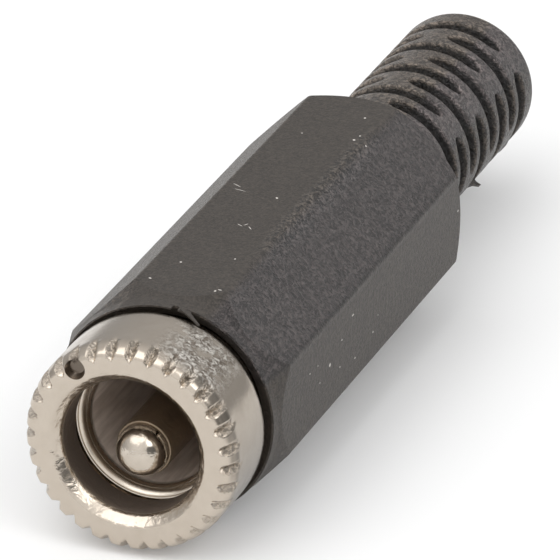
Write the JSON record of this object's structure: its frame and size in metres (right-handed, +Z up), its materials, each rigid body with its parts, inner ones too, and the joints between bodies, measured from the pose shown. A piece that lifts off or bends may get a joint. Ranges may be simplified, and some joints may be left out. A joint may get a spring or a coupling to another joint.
{
  "type": "inline dc power socket",
  "caption": "Cable-end DC power socket: notched plated collar, centre pin in a round mouth, eight-sided screw-on shell with a slotted strain relief.",
  "frame": {"origin": "middle of the bounding box's underside: the surface that the shell's lower flat lies on, under the middle of the length", "axes": "+Y along the connector from the mouth to the cable end, +Z up from the flat that it lies on, +X to the right seen from the mouth"},
  "size_m": [0.01, 0.0428, 0.01],
  "materials": {
    "nickel_plate": "turned brass with bright nickel plate",
    "tinned_brass": "stamped brass strip with dull tin plate",
    "bush_nylon": "black moulded nylon",
    "fibre": "punched red-brown vulcanised fibre",
    "shell_plastic": "black moulded plastic, lightly grained flats"
  },
  "bodies": {
    "root": {"collar": "nickel_plate", "contact_sleeve": "nickel_plate", "centre_pin": "nickel_plate", "earth_tag": "tinned_brass", "pin_tag": "tinned_brass", "insulator": "bush_nylon", "fibre_washer": "fibre", "shell": "shell_plastic"}
  },
  "joints": []
}
